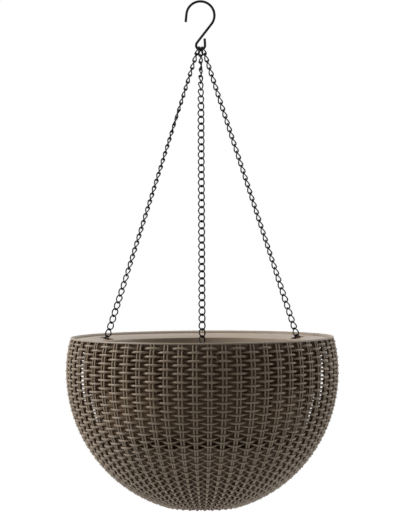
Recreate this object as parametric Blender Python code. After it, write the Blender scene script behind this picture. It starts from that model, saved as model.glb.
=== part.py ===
"""Hanging planter: a moulded rattan-look bowl with a lift-out liner, hung on three chains from an S-hook.

Metres, +Z up. The origin is the point inside the hook's upper bend that bears on what it hangs from.
"""

import math

import bmesh
import bpy
from mathutils import Matrix, Vector

UP = Vector((0, 0, 1))

# S-hook, bent from coated wire in the XZ plane; sizes are to the wire's centre line
HOOK_WIRE = 0.0032
HOOK_UPPER_BEND = 0.0179
HOOK_LOWER_BEND = 0.0057
HOOK_BEND_SPACING = 0.0382
HOOK_UPPER_LEG = 0.0105
HOOK_LOWER_LEG = 0.0085
HOOK_UPPER_LEAN = math.radians(6)
HOOK_LOWER_LEAN = math.radians(3)
HOOK_BEND_STEPS = 14
HOOK_CENTRE = Vector((0, 0, HOOK_WIRE / 2 - HOOK_UPPER_BEND))
LOWER_BEND_CENTRE = HOOK_CENTRE - UP * HOOK_BEND_SPACING

# Chains of twisted links; a link's width is outside to outside
CHAINS = {"front": math.radians(-90), "right": math.radians(30), "left": math.radians(150)}
LINK_WIRE = 0.0018
LINK_WIDTH = 0.0091
LINK_END_SHARE = 0.76
LINK_PITCH = 0.0094
LINK_TWIST = math.radians(90)
LINK_GAP = 0.0003
SWING_GAP = 0.0009
LINK_LAP = 0.0002
RUNS_PER_CHAIN = 14
# Square wire with the round wire's section area
LINK_SECTION = LINK_WIRE / 2 * math.sqrt(math.pi)
# Where the three top links sit on the hook: angle from the bend's lowest point, and lean from upright.
# They are turned a little about their length so that they lie side by side, and the links below turn back.
TOP_LINK_ANGLE = math.radians(45)
TOP_LINK_LEAN = math.radians(20)
TOP_LINK_TURN = math.radians(-22)
TOP_LINK_SIDE_GAP = 0.0006
LINKS_TURNING_BACK = 6

# Bowl outline: a short upper curve, then a quarter of an ellipse down to a flat base
HANG_DROP = 0.4267
BOWL_HEIGHT = 0.218
BOWL_RADIUS = 0.1742
RIM_INSET = 0.0059
RIM_RADIUS = BOWL_RADIUS - RIM_INSET
BASE_RADIUS = 0.0415
WIDEST_DEPTH = 0.0435
RIM = UP * -HANG_DROP

# Open weave of the bowl: upright stakes crossed by hoops that pass over and under them in turn
STAKES = 24
UPPER_ROW_STEPS = 2
LOWER_ROW_STEPS = 7
OPEN_WIDTH_SHARE = 0.6
OPEN_HEIGHT_SHARE = 0.46
WEAVE_THICKNESS = 0.003
WEAVE_RELIEF = 0.0013
WEAVE_END_INSET = 0.0025
WEAVE_END_RADIUS = BASE_RADIUS + WEAVE_END_INSET
BASE_OVERHANG = 0.0015
BASE_PLATE_RADIUS = WEAVE_END_RADIUS + BASE_OVERHANG
BASE_THICKNESS = 0.005
BASE_EDGE = 0.0008

# Rim ring, the web under its inner edge, and the ledge that carries the liner
ROUND_STEPS = 48
RIM_WIDTH = 0.0048
RIM_THICKNESS = 0.0026
RIM_ROUND = 0.0008
WEB_THICKNESS = 0.002
LEDGE_DEPTH = 0.0055
LEDGE_WIDTH = 0.0055
LEDGE_THICKNESS = 0.002
RIM_INNER_RADIUS = RIM_RADIUS - RIM_WIDTH

# Lugs inside the rim: two cheeks and a bar that the end link of each chain is closed round
LUG_REACH = 0.0175
LUG_RADIUS = RIM_INNER_RADIUS - LUG_REACH
LUG_DEPTH = 0.0098
LUG_BAR = 0.0028
LUG_OPENING = 0.0094
LUG_CHEEK = 0.002
LUG_NOSE = 0.003
LUG_FOOT = 0.0085
LUG_BAR_STEPS = 10
LUG_NOSE_STEPS = 5

# Liner: a pot with a wide flange that falls away from the rim, and a slot in it for each chain
SEAT_GAP = 0.0003
LINER_WALL = 0.002
FLANGE_CLEARANCE = 0.0006
FLANGE_DEPTH = LEDGE_DEPTH - SEAT_GAP - LINER_WALL
FLANGE_RADIUS = RIM_INNER_RADIUS - FLANGE_CLEARANCE
FLANGE_SEAT_WIDTH = 0.0054
FLANGE_WIDTH = 0.0289
FLANGE_FALL = 0.0058
FLANGE_STEPS = 4
LINER_LIP_ROUND = 0.0016
LINER_RADIUS = FLANGE_RADIUS - FLANGE_WIDTH
UNDER_LINER_SPACE = 0.04
LINER_DEPTH = BOWL_HEIGHT - UNDER_LINER_SPACE
LINER_FLOOR_CLEARANCE = 0.0205
LINER_FLOOR_ROUND = 0.012
SLOT_WIDTH = 0.016
SLOT_INNER_REACH = 0.009
SLOT_OUTER_REACH = 0.006
SLOT_ROUND = 0.004
SLOT_ROUND_STEPS = 3

# Drain plug, pushed into the liner's floor from above
DRAIN_RADIUS = 0.008
PLUG_CLEARANCE = 0.0003
PLUG_HEAD_RADIUS = 0.0125
PLUG_HEAD_THICKNESS = 0.0025
PLUG_STEM = 0.006
PLUG_GRIP_RADIUS = 0.004
PLUG_GRIP_HEIGHT = 0.008
PLUG_STEPS = 24

# How far pieces that are joined run into each other, and cutters past what they cut
OVERRUN = 0.002


def bowl_curve_depth():
    """Vertical half-axis of the bowl's ellipse, which meets the edge of the flat base at full depth."""
    drop = BOWL_HEIGHT - WIDEST_DEPTH
    return drop / math.sqrt(1 - (BASE_RADIUS / BOWL_RADIUS) ** 2)


def outline_radius(depth):
    """Outer radius of the bowl at this depth below the rim."""
    if depth < WIDEST_DEPTH:
        rise = (WIDEST_DEPTH - depth) / WIDEST_DEPTH
        return BOWL_RADIUS - (BOWL_RADIUS - RIM_RADIUS) * rise**2
    fall = (depth - WIDEST_DEPTH) / bowl_curve_depth()
    return BOWL_RADIUS * math.sqrt(max(0, 1 - fall**2))


def row_depth(row):
    """Depth of a weave row, evenly spaced along the outline above and below its widest place."""
    if row <= UPPER_ROW_STEPS:
        start = RIM_THICKNESS / 2
        return start + (WIDEST_DEPTH - start) * row / UPPER_ROW_STEPS
    last = math.acos(WEAVE_END_RADIUS / BOWL_RADIUS)
    angle = last * (row - UPPER_ROW_STEPS) / LOWER_ROW_STEPS
    return WIDEST_DEPTH + bowl_curve_depth() * math.sin(angle)


def radial(angle):
    return Vector((math.cos(angle), math.sin(angle), 0))


def finish(name, colour, roughness, metallic=0.0):
    material = bpy.data.materials.new(name)
    material.use_nodes = True
    shader = material.node_tree.nodes["Principled BSDF"]
    shader.inputs["Base Color"].default_value = (*colour, 1)
    shader.inputs["Roughness"].default_value = roughness
    shader.inputs["Metallic"].default_value = metallic
    material.diffuse_color = (*colour, 1)
    return material


def add_object(name, bm, material, smooth_angle=math.radians(35)):
    """Turns a bmesh into an object of this name, with its faces pointing out."""
    bmesh.ops.recalc_face_normals(bm, faces=bm.faces)
    mesh = bpy.data.meshes.new(name)
    bm.to_mesh(mesh)
    bm.free()
    mesh.materials.append(material)
    mesh.shade_smooth()
    mesh.set_sharp_from_angle(angle=smooth_angle)
    obj = bpy.data.objects.new(name, mesh)
    bpy.context.scene.collection.objects.link(obj)
    return obj


def combined(base, others, operation):
    """Applies a Boolean of each other object to the base, and removes the others."""
    for other in others:
        step = base.modifiers.new(operation.lower(), "BOOLEAN")
        step.operation = operation
        step.object = other
    graph = bpy.context.evaluated_depsgraph_get()
    base.data = bpy.data.meshes.new_from_object(base.evaluated_get(graph))
    base.modifiers.clear()
    for other in others:
        bpy.data.objects.remove(other)
    return base


def turned(name, outline, material, steps, start=0):
    """Spins a closed outline of (radius, depth below the rim) pairs round the vertical axis from a start angle."""
    bm = bmesh.new()
    points = [bm.verts.new(radial(start) * radius - UP * depth) for radius, depth in outline]
    edges = [bm.edges.new((a, b)) for a, b in zip(points, points[1:])]
    if outline[0][0] > 0:
        edges.append(bm.edges.new((points[-1], points[0])))
    bmesh.ops.spin(
        bm, geom=points + edges, cent=(0, 0, 0), axis=UP, angle=math.tau, steps=steps, use_merge=True
    )
    bmesh.ops.remove_doubles(bm, verts=bm.verts, dist=LINK_LAP / 2)
    bmesh.ops.translate(bm, verts=bm.verts, vec=RIM)
    return add_object(name, bm, material)


def hook_line():
    """Points of the hook's centre line, from its upper tip to its lower tip."""
    swing = math.asin((HOOK_UPPER_BEND + HOOK_LOWER_BEND) / HOOK_BEND_SPACING)

    def bend(centre, radius, start, end):
        angles = [start + (end - start) * i / HOOK_BEND_STEPS for i in range(HOOK_BEND_STEPS + 1)]
        return [centre + Vector((math.cos(a), 0, math.sin(a))) * radius for a in angles]

    upper = bend(HOOK_CENTRE, HOOK_UPPER_BEND, math.pi - HOOK_UPPER_LEAN, -swing)
    lower = bend(LOWER_BEND_CENTRE, HOOK_LOWER_BEND, math.pi - swing, math.tau + HOOK_LOWER_LEAN)
    upper_tip = upper[0] + Vector((-math.sin(HOOK_UPPER_LEAN), 0, -math.cos(HOOK_UPPER_LEAN))) * HOOK_UPPER_LEG
    lower_tip = lower[-1] + Vector((-math.sin(HOOK_LOWER_LEAN), 0, math.cos(HOOK_LOWER_LEAN))) * HOOK_LOWER_LEG
    return [upper_tip, *upper, *lower, lower_tip]


def add_hook(material):
    curve = bpy.data.curves.new("s_hook", "CURVE")
    curve.dimensions = "3D"
    curve.bevel_depth = HOOK_WIRE / 2
    curve.bevel_resolution = 2
    curve.use_fill_caps = True
    spline = curve.splines.new("POLY")
    line = hook_line()
    spline.points.add(len(line) - 1)
    for point, place in zip(spline.points, line):
        point.co = (*place, 1)
    spline.use_smooth = True
    curve.materials.append(material)
    hook = bpy.data.objects.new("s_hook", curve)
    bpy.context.scene.collection.objects.link(hook)
    return hook


def add_link(name, top, bottom, wide, material):
    """A link between the wire centres of its two ends; wide is the direction across its lower end."""
    along = (bottom - top).normalized()
    length = (bottom - top).length + LINK_SECTION
    half_width = LINK_WIDTH / 2
    half_end = half_width * LINK_END_SHARE
    corners = [
        (-length / 2, -half_end),
        (0, -half_width),
        (length / 2, -half_end),
        (length / 2, half_end),
        (0, half_width),
        (-length / 2, half_end),
    ]
    bm = bmesh.new()
    blank = bm.faces.new([bm.verts.new((x, y, -LINK_SECTION / 2)) for x, y in corners])
    blank.normal_update()
    bmesh.ops.inset_region(
        bm, faces=[blank], thickness=LINK_SECTION, use_boundary=True, use_even_offset=True
    )
    bmesh.ops.delete(bm, geom=[blank], context="FACES_ONLY")
    raised = bmesh.ops.extrude_face_region(bm, geom=list(bm.faces))["geom"]
    raised = [item for item in raised if isinstance(item, bmesh.types.BMVert)]
    bmesh.ops.translate(bm, verts=raised, vec=UP * LINK_SECTION)
    for vert in bm.verts:
        turn = -LINK_TWIST * vert.co.x / length
        vert.co = Matrix.Rotation(turn, 3, "X") @ vert.co
    across = Matrix.Rotation(-LINK_TWIST / 2, 3, -along) @ wide
    frame = Matrix((along, across, along.cross(across))).transposed().to_4x4()
    frame.translation = (top + bottom) / 2
    bmesh.ops.transform(bm, matrix=frame, verts=bm.verts)
    return add_object(name, bm, material)


def across_chain(along, angle):
    """The level direction at this bearing, squared up to a chain that runs along the given direction."""
    level = radial(angle)
    return (level - along * level.dot(along)).normalized()


def add_chain(side, bearing, material):
    """The top link on the hook, runs of links, and the end link round the bar of its lug."""
    lean = {"front": 0, "right": TOP_LINK_LEAN, "left": -TOP_LINK_LEAN}[side]
    place = {"front": 0, "right": TOP_LINK_ANGLE, "left": -TOP_LINK_ANGLE}[side]
    room = LINK_GAP if side == "front" else TOP_LINK_SIDE_GAP
    seat = HOOK_LOWER_BEND - HOOK_WIRE / 2 - room - LINK_SECTION / 2
    top = LOWER_BEND_CENTRE + Vector((math.sin(place), 0, -math.cos(place))) * seat
    knot = LINK_SECTION + LINK_GAP
    along = Vector((math.sin(lean), 0, -math.cos(lean)))
    first_end = top + along * (LINK_PITCH + knot)
    add_link(f"{side}_chain_top_link", top, first_end, across_chain(along, TOP_LINK_TURN), material)

    bar = RIM + radial(bearing) * LUG_RADIUS - UP * LUG_DEPTH
    below_bar = LUG_BAR / 2 + LINK_GAP + LINK_SECTION / 2
    last_end = bar + (bar - first_end).normalized() * below_bar
    along = (last_end - first_end).normalized()
    span = (last_end - first_end).length
    count = round(span / LINK_PITCH)
    pitch = span / count
    roll = bearing % math.pi
    run_starts = [run * (count - 1) // RUNS_PER_CHAIN for run in range(RUNS_PER_CHAIN)] + [count - 1]
    links = []
    for index in range(count):
        # Links of one run lap a little where they touch, and runs keep a gap, the first one a wider gap
        half_top = (knot if index in run_starts else LINK_SECTION - LINK_LAP) / 2
        if index == 0:
            half_top += SWING_GAP - LINK_GAP
        half_bottom = (knot if index + 1 in (*run_starts, count) else LINK_SECTION - LINK_LAP) / 2
        upper = first_end + along * (pitch * index - knot / 2 - half_top)
        lower = first_end + along * (pitch * (index + 1) - knot / 2 + half_bottom)
        turn_back = TOP_LINK_TURN * max(0, 1 - index / LINKS_TURNING_BACK)
        wide = across_chain(along, roll * index / (count - 1) + turn_back)
        links.append(add_link(f"{side}_link", upper, lower, wide, material))
    for run, (start, end) in enumerate(zip(run_starts, run_starts[1:]), 1):
        body = combined(links[start], links[start + 1 : end], "UNION")
        body.name = f"{side}_chain_run_{run:02d}"
    links[-1].name = f"{side}_chain_end_link"


def add_weave(material):
    """The open lattice of the bowl, as a surface that Solidify gives its thickness."""
    rows = UPPER_ROW_STEPS + LOWER_ROW_STEPS
    depths = [row_depth(row) for row in range(rows + 1)]
    bm = bmesh.new()
    points = [bm.verts.new((outline_radius(depth) - WEAVE_RELIEF, 0, -depth)) for depth in depths]
    edges = [bm.edges.new(pair) for pair in zip(points, points[1:])]
    bmesh.ops.spin(
        bm, geom=points + edges, cent=(0, 0, 0), axis=UP, angle=math.tau, steps=STAKES, use_merge=True
    )
    bmesh.ops.recalc_face_normals(bm, faces=bm.faces)
    if sum(face.normal.dot(face.calc_center_median()) for face in bm.faces) < 0:
        bmesh.ops.reverse_faces(bm, faces=bm.faces)
    bm.normal_update()
    crossings = [(vert, vert.normal.copy()) for vert in bm.verts]
    openings = list(bm.faces)
    bmesh.ops.inset_individual(bm, faces=openings, thickness=0)
    for face in openings:
        centre = face.calc_center_median()
        around = UP.cross(centre).normalized()
        for vert in face.verts:
            offset = vert.co - centre
            sideways = around * offset.dot(around)
            moved = centre + sideways * OPEN_WIDTH_SHARE + (offset - sideways) * OPEN_HEIGHT_SHARE
            level = Vector((moved.x, moved.y, 0)).normalized()
            vert.co = level * (outline_radius(-moved.z) - WEAVE_RELIEF) + UP * moved.z
    for vert, normal in crossings:
        column = round(math.atan2(vert.co.y, vert.co.x) / math.tau * STAKES)
        row = min(range(rows + 1), key=lambda i: abs(depths[i] + vert.co.z))
        if 0 < row < rows:
            vert.co += normal * WEAVE_RELIEF * (-1 if (row + column) % 2 else 1)
    bmesh.ops.delete(bm, geom=openings, context="FACES_ONLY")
    bmesh.ops.translate(bm, verts=bm.verts, vec=RIM)
    mesh = bpy.data.meshes.new("outer_shell")
    bm.to_mesh(mesh)
    bm.free()
    mesh.materials.append(material)
    weave = bpy.data.objects.new("outer_shell", mesh)
    bpy.context.scene.collection.objects.link(weave)
    wall = weave.modifiers.new("wall", "SOLIDIFY")
    wall.thickness = WEAVE_THICKNESS
    wall.offset = -1
    return weave


def rim_outline():
    """Section of the rim ring with its web and ledge, as radius and depth."""
    web = RIM_INNER_RADIUS + WEB_THICKNESS
    ledge = RIM_INNER_RADIUS - LEDGE_WIDTH
    return [
        (RIM_RADIUS, RIM_ROUND),
        (RIM_RADIUS - RIM_ROUND, 0),
        (RIM_INNER_RADIUS, 0),
        (RIM_INNER_RADIUS, LEDGE_DEPTH),
        (ledge, LEDGE_DEPTH),
        (ledge, LEDGE_DEPTH + LEDGE_THICKNESS),
        (web, LEDGE_DEPTH + LEDGE_THICKNESS),
        (web, RIM_THICKNESS),
        (RIM_RADIUS - RIM_ROUND, RIM_THICKNESS),
        (RIM_RADIUS, RIM_THICKNESS - RIM_ROUND),
    ]


def base_outline():
    """Section of the flat base under the weave's last row, from the axis out and back."""
    return [
        (0, BOWL_HEIGHT),
        (BASE_PLATE_RADIUS - BASE_EDGE, BOWL_HEIGHT),
        (BASE_PLATE_RADIUS, BOWL_HEIGHT - BASE_EDGE),
        (BASE_PLATE_RADIUS, BOWL_HEIGHT - BASE_THICKNESS),
        (0, BOWL_HEIGHT - BASE_THICKNESS),
    ]


def add_lug(bearing, material):
    """Two cheeks with round noses, standing in from the rim, and the bar between them."""
    reach = RIM_INNER_RADIUS + WEB_THICKNESS / 2
    nose = [math.pi / 2 + math.pi * i / LUG_NOSE_STEPS for i in range(LUG_NOSE_STEPS + 1)]
    section = [(LUG_RADIUS + LUG_NOSE * math.cos(a), -LUG_DEPTH + LUG_NOSE * math.sin(a)) for a in nose]
    section = [(reach, LUG_NOSE - LUG_DEPTH), *section, (reach, -LUG_DEPTH - LUG_FOOT)]
    turn = Matrix.Rotation(bearing, 4, "Z")
    pieces = []
    for side in (-1, 1):
        inner = side * LUG_OPENING / 2
        bm = bmesh.new()
        cheek = bm.faces.new([bm.verts.new((x, inner, z)) for x, z in section])
        grown = bmesh.ops.extrude_face_region(bm, geom=[cheek])["geom"]
        grown = [item for item in grown if isinstance(item, bmesh.types.BMVert)]
        bmesh.ops.translate(bm, verts=grown, vec=(0, side * LUG_CHEEK, 0))
        bmesh.ops.transform(bm, matrix=turn, verts=bm.verts)
        bmesh.ops.translate(bm, verts=bm.verts, vec=RIM)
        pieces.append(add_object("lug_cheek", bm, material))
    bm = bmesh.new()
    bmesh.ops.create_cone(
        bm,
        cap_ends=True,
        segments=LUG_BAR_STEPS,
        radius1=LUG_BAR / 2,
        radius2=LUG_BAR / 2,
        depth=LUG_OPENING + LUG_CHEEK,
        matrix=turn @ Matrix.Translation((LUG_RADIUS, 0, -LUG_DEPTH)) @ Matrix.Rotation(math.pi / 2, 4, "X"),
    )
    bmesh.ops.translate(bm, verts=bm.verts, vec=RIM)
    pieces.append(add_object("lug_bar", bm, material))
    return pieces


def add_shell(material):
    weave = add_weave(material)
    # Half a step round, so that their corners don't line up with those of the weave
    start = math.pi / ROUND_STEPS
    pieces = [
        turned("rim", rim_outline(), material, ROUND_STEPS, start),
        turned("base", base_outline(), material, ROUND_STEPS, start),
    ]
    for bearing in CHAINS.values():
        pieces += add_lug(bearing, material)
    return combined(weave, pieces, "UNION")


def liner_outline():
    """Section of the liner: flange, rounded lip, tapered wall, rounded floor and drain hole."""
    seat = FLANGE_RADIUS - FLANGE_SEAT_WIDTH
    run = seat - LINER_RADIUS - LINER_LIP_ROUND
    falls = [(i / FLANGE_STEPS, (i / FLANGE_STEPS) ** 2) for i in range(FLANGE_STEPS + 1)]
    slope = [(seat - run * t, FLANGE_DEPTH + FLANGE_FALL * (t + square) / 2) for t, square in falls]
    lip = FLANGE_DEPTH + FLANGE_FALL
    cut = LINER_LIP_ROUND * (1 - math.sqrt(0.5))
    floor = LINER_DEPTH - LINER_WALL
    floor_radius = outline_radius(LINER_DEPTH) - LINER_FLOOR_CLEARANCE
    return [
        (FLANGE_RADIUS, FLANGE_DEPTH),
        *slope,
        (LINER_RADIUS + cut, lip + cut),
        (LINER_RADIUS, lip + LINER_LIP_ROUND),
        (floor_radius - LINER_WALL, floor - LINER_FLOOR_ROUND),
        (floor_radius - LINER_FLOOR_ROUND, floor),
        (DRAIN_RADIUS, floor),
        (DRAIN_RADIUS, LINER_DEPTH),
        (floor_radius - LINER_FLOOR_ROUND, LINER_DEPTH),
        (floor_radius, floor - LINER_FLOOR_ROUND),
        (LINER_RADIUS + LINER_WALL, lip + LINER_WALL + LINER_LIP_ROUND),
        *[(radius, depth + LINER_WALL) for radius, depth in reversed(slope)],
        (FLANGE_RADIUS, FLANGE_DEPTH + LINER_WALL),
    ]


def add_slot(bearing, material):
    """A cutter with rounded corners for one slot of the flange, lying radially at this bearing."""
    half = SLOT_WIDTH / 2 - SLOT_ROUND
    inner = LUG_RADIUS - SLOT_INNER_REACH + SLOT_ROUND
    outer = LUG_RADIUS + SLOT_OUTER_REACH - SLOT_ROUND
    section = []
    for quarter, (x, y) in enumerate([(outer, half), (inner, half), (inner, -half), (outer, -half)]):
        for i in range(SLOT_ROUND_STEPS + 1):
            a = (quarter + i / SLOT_ROUND_STEPS) * math.pi / 2
            section.append((x + SLOT_ROUND * math.cos(a), y + SLOT_ROUND * math.sin(a)))
    bottom = FLANGE_DEPTH + FLANGE_FALL + LINER_WALL + OVERRUN
    bm = bmesh.new()
    lower = bm.faces.new([bm.verts.new((x, y, -bottom)) for x, y in section])
    raised = bmesh.ops.extrude_face_region(bm, geom=[lower])["geom"]
    raised = [item for item in raised if isinstance(item, bmesh.types.BMVert)]
    bmesh.ops.translate(bm, verts=raised, vec=UP * bottom)
    bmesh.ops.transform(bm, matrix=Matrix.Rotation(bearing, 4, "Z"), verts=bm.verts)
    bmesh.ops.translate(bm, verts=bm.verts, vec=RIM)
    return add_object("slot", bm, material)


def add_liner(material):
    """The liner, with a slot in its flange for each chain and lug."""
    liner = turned("liner", liner_outline(), material, ROUND_STEPS)
    cutters = [add_slot(bearing, material) for bearing in CHAINS.values()]
    return combined(liner, cutters, "DIFFERENCE")


def add_plug(material):
    """A stem in the drain hole, a head on the floor, and a grip to pull it by."""
    floor = LINER_DEPTH - LINER_WALL
    head = floor - SEAT_GAP
    outline = [
        (0, head - PLUG_HEAD_THICKNESS - PLUG_GRIP_HEIGHT),
        (PLUG_GRIP_RADIUS, head - PLUG_HEAD_THICKNESS - PLUG_GRIP_HEIGHT),
        (PLUG_GRIP_RADIUS, head - PLUG_HEAD_THICKNESS),
        (PLUG_HEAD_RADIUS, head - PLUG_HEAD_THICKNESS),
        (PLUG_HEAD_RADIUS, head),
        (DRAIN_RADIUS - PLUG_CLEARANCE, head),
        (DRAIN_RADIUS - PLUG_CLEARANCE, head + PLUG_STEM),
        (0, head + PLUG_STEM),
    ]
    return turned("drain_plug", outline, material, PLUG_STEPS)


for old in list(bpy.data.objects):
    bpy.data.objects.remove(old)

coated_wire = finish("black coated wire", (0.012, 0.012, 0.013), 0.4)
moulded_resin = finish("moulded taupe resin", (0.155, 0.122, 0.095), 0.5)
liner_resin = finish("smooth taupe resin", (0.17, 0.135, 0.105), 0.45)
plug_rubber = finish("dark rubber", (0.03, 0.028, 0.026), 0.7)

add_hook(coated_wire)
for chain_side, chain_bearing in CHAINS.items():
    add_chain(chain_side, chain_bearing, coated_wire)
add_shell(moulded_resin)
add_liner(liner_resin)
add_plug(plug_rubber)
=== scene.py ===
"""Hanging planter: the looks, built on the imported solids.

Metres, +Z up. The origin is the point inside the hook's upper bend that bears on what it hangs from.
"""

import bisect
import math

import bmesh
import bpy
from mathutils import Matrix, Vector


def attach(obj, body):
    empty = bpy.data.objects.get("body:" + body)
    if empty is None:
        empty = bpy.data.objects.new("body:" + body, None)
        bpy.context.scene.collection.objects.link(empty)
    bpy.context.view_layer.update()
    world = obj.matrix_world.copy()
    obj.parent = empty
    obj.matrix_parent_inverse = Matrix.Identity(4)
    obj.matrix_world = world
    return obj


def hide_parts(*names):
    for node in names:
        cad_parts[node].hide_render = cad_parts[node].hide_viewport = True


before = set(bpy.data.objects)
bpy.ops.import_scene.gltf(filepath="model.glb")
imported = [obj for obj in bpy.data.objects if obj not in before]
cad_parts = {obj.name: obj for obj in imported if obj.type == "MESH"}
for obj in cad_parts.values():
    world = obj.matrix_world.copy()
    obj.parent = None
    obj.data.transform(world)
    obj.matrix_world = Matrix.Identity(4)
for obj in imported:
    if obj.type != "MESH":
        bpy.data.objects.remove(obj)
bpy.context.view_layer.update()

# S-hook: one piece of 3.2 mm steel wire, bent cold round two pins and cut square at both ends,
# with a satin black coating that softens the cut edges. The upper bend hangs on a bracket.
UP = Vector((0, 0, 1))
HOOK_WIRE = 0.0032
UPPER_BEND = 0.0179
LOWER_BEND = 0.0057
BEND_SPACING = 0.0382
UPPER_LEG = 0.0105
LOWER_LEG = 0.0085
UPPER_LEAN = math.radians(6)
LOWER_LEAN = math.radians(3)
UPPER_CENTRE = Vector((0, 0, HOOK_WIRE / 2 - UPPER_BEND))
LOWER_CENTRE = UPPER_CENTRE - UP * BEND_SPACING
SHANK_SWING = math.asin((UPPER_BEND + LOWER_BEND) / BEND_SPACING)
HOOK_SIDES = 16
UPPER_STEPS = 48
SHANK_STEPS = 6
LOWER_STEPS = 32
CUT_ROUND = 0.0005
WELD = 1e-6


def resin_or_coat(name, base, roughness):
    """A new material with its Principled shader, and the shader's own colour and roughness set."""
    material = bpy.data.materials.new(name)
    material.use_nodes = True
    shader = material.node_tree.nodes["Principled BSDF"]
    shader.inputs["Base Color"].default_value = (*base, 1)
    shader.inputs["Roughness"].default_value = roughness
    material.diffuse_color = (*base, 1)
    return material, shader


def mesh_from(name, bm):
    """A new mesh of this shape. The bmesh is used up."""
    mesh = bpy.data.meshes.new(name)
    bm.to_mesh(mesh)
    bm.free()
    return mesh


def in_scene(name, data):
    """A new object of this data, linked into the scene."""
    made = bpy.data.objects.new(name, data)
    bpy.context.scene.collection.objects.link(made)
    return made


def finished(name, bm, material, body, slot, *nodes, crease=35):
    """Makes a piece's object from its bmesh, with its body and the solids that it stands for. The slot is
    not used.
    """
    bmesh.ops.recalc_face_normals(bm, faces=bm.faces)
    mesh = mesh_from(name, bm)
    mesh.materials.append(material)
    mesh.shade_smooth()
    mesh.set_sharp_from_angle(angle=math.radians(crease))
    piece = in_scene(name, mesh)
    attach(piece, body)
    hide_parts(*nodes)
    return piece


def new_group(name, sockets_in, sockets_out):
    """An empty shader node group with these inputs (name, type, default) and outputs (name, type)."""
    group = bpy.data.node_groups.new(name, "ShaderNodeTree")
    for label, kind, default in sockets_in:
        made = group.interface.new_socket(label, in_out="INPUT", socket_type=kind)
        if default is not None:
            made.default_value = default
    for label, kind in sockets_out:
        group.interface.new_socket(label, in_out="OUTPUT", socket_type=kind)
    return group, group.nodes.new("NodeGroupInput"), group.nodes.new("NodeGroupOutput")


def uneven_skin():
    """Fine pebbling and broad cloudiness of a sprayed or moulded skin, in object space."""
    group, given, out = new_group(
        "uneven skin",
        [("Grain per metre", "NodeSocketFloat", 1500), ("Clouds per metre", "NodeSocketFloat", 30)],
        [("Tone", "NodeSocketFloat"), ("Height", "NodeSocketFloat")],
    )
    nodes, links = group.nodes, group.links
    place = nodes.new("ShaderNodeTexCoord")
    grain = nodes.new("ShaderNodeTexNoise")
    grain.inputs["Detail"].default_value = 3
    grain.inputs["Roughness"].default_value = 0.6
    clouds = nodes.new("ShaderNodeTexNoise")
    clouds.inputs["Detail"].default_value = 4
    links.new(place.outputs["Object"], grain.inputs["Vector"])
    links.new(place.outputs["Object"], clouds.inputs["Vector"])
    links.new(given.outputs["Grain per metre"], grain.inputs["Scale"])
    links.new(given.outputs["Clouds per metre"], clouds.inputs["Scale"])
    both = nodes.new("ShaderNodeMath")
    both.operation = "MULTIPLY_ADD"
    both.inputs[1].default_value = 0.4
    links.new(grain.outputs["Fac"], both.inputs[0])
    lighter = nodes.new("ShaderNodeMath")
    lighter.operation = "MULTIPLY"
    lighter.inputs[1].default_value = 0.6
    links.new(clouds.outputs["Fac"], lighter.inputs[0])
    links.new(lighter.outputs[0], both.inputs[2])
    links.new(both.outputs[0], out.inputs["Tone"])
    links.new(grain.outputs["Fac"], out.inputs["Height"])
    return group


SKIN = uneven_skin()


def add_skin(material, shader, dark, light, grain, clouds, rough, depth):
    """Lays the uneven skin over a material: its colours, its roughness span and the height of its grain."""
    nodes, links = material.node_tree.nodes, material.node_tree.links
    skin = nodes.new("ShaderNodeGroup")
    skin.node_tree = SKIN
    skin.inputs["Grain per metre"].default_value = grain
    skin.inputs["Clouds per metre"].default_value = clouds
    spread = nodes.new("ShaderNodeMapRange")
    spread.inputs["From Min"].default_value = 0.35
    spread.inputs["From Max"].default_value = 0.65
    links.new(skin.outputs["Tone"], spread.inputs["Value"])
    colour = nodes.new("ShaderNodeMix")
    colour.data_type = "RGBA"
    colour.inputs["A"].default_value = (*dark, 1)
    colour.inputs["B"].default_value = (*light, 1)
    links.new(spread.outputs["Result"], colour.inputs["Factor"])
    links.new(colour.outputs["Result"], shader.inputs["Base Color"])
    dull = nodes.new("ShaderNodeMapRange")
    dull.inputs["To Min"].default_value = rough[0]
    dull.inputs["To Max"].default_value = rough[1]
    links.new(skin.outputs["Tone"], dull.inputs["Value"])
    links.new(dull.outputs["Result"], shader.inputs["Roughness"])
    bump = nodes.new("ShaderNodeBump")
    bump.inputs["Strength"].default_value = 0.6
    bump.inputs["Distance"].default_value = depth
    links.new(skin.outputs["Height"], bump.inputs["Height"])
    links.new(bump.outputs["Normal"], shader.inputs["Normal"])
    return colour, bump


coated_wire, coat_shader = resin_or_coat("satin black coat on wire", (0.012, 0.012, 0.013), 0.42)
coat_shader.inputs["Specular IOR Level"].default_value = 0.07
add_skin(
    coated_wire,
    coat_shader,
    dark=(0.005, 0.005, 0.0055),
    light=(0.012, 0.0118, 0.012),
    grain=2600,
    clouds=160,
    rough=(0.3, 0.55),
    depth=0.00006,
)

bm = bmesh.new()
across = Vector((-math.cos(UPPER_LEAN), 0, math.sin(UPPER_LEAN)))
down_leg = Vector((-math.sin(UPPER_LEAN), 0, -math.cos(UPPER_LEAN)))
tip = UPPER_CENTRE + across * UPPER_BEND + down_leg * UPPER_LEG
section = Matrix((across, Vector((0, 1, 0)), across.cross(Vector((0, 1, 0))))).transposed().to_4x4()
section.translation = tip
bmesh.ops.create_circle(bm, cap_ends=False, segments=HOOK_SIDES, radius=HOOK_WIRE / 2, matrix=section)
open_end = list(bm.edges)
caps = [bmesh.ops.contextual_create(bm, geom=open_end)["faces"][0]]


def carry_on(bm, ring, step):
    """Draws the open ring of edges out along a straight, and returns the new ring."""
    made = bmesh.ops.extrude_edge_only(bm, edges=ring)["geom"]
    fresh = [item for item in made if isinstance(item, bmesh.types.BMVert)]
    bmesh.ops.translate(bm, verts=fresh, vec=step)
    return [edge for edge in bm.edges if edge.verts[0] in fresh and edge.verts[1] in fresh]


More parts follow.
